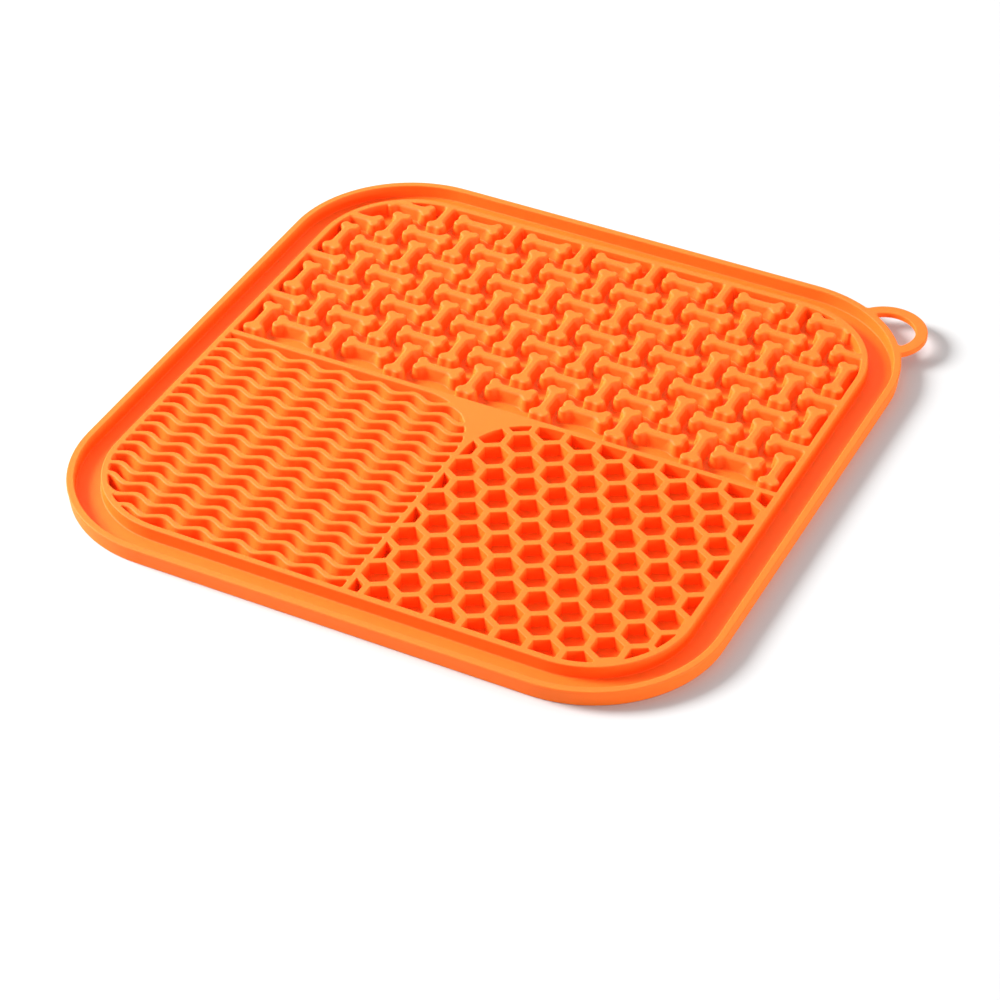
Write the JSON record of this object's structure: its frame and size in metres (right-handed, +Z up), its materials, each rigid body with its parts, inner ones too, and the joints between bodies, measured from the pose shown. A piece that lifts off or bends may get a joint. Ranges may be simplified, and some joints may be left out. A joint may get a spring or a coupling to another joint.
{
  "type": "lick mat",
  "caption": "Square silicone lick mat for pets: raised bones, waves and honeycomb inside a gutter and rim, with a hanging loop at a corner.",
  "frame": {"origin": "middle of the flat underside", "axes": "+Z up out of the patterned face; +Y towards the half with the bones; the hanging loop is at the +X +Y corner"},
  "size_m": [0.2, 0.2, 0.0052],
  "materials": {
    "silicone": "satin moulded silicone, orange all through"
  },
  "bodies": {
    "root": {"mat": "silicone", "hanging_loop": "silicone"}
  },
  "joints": []
}
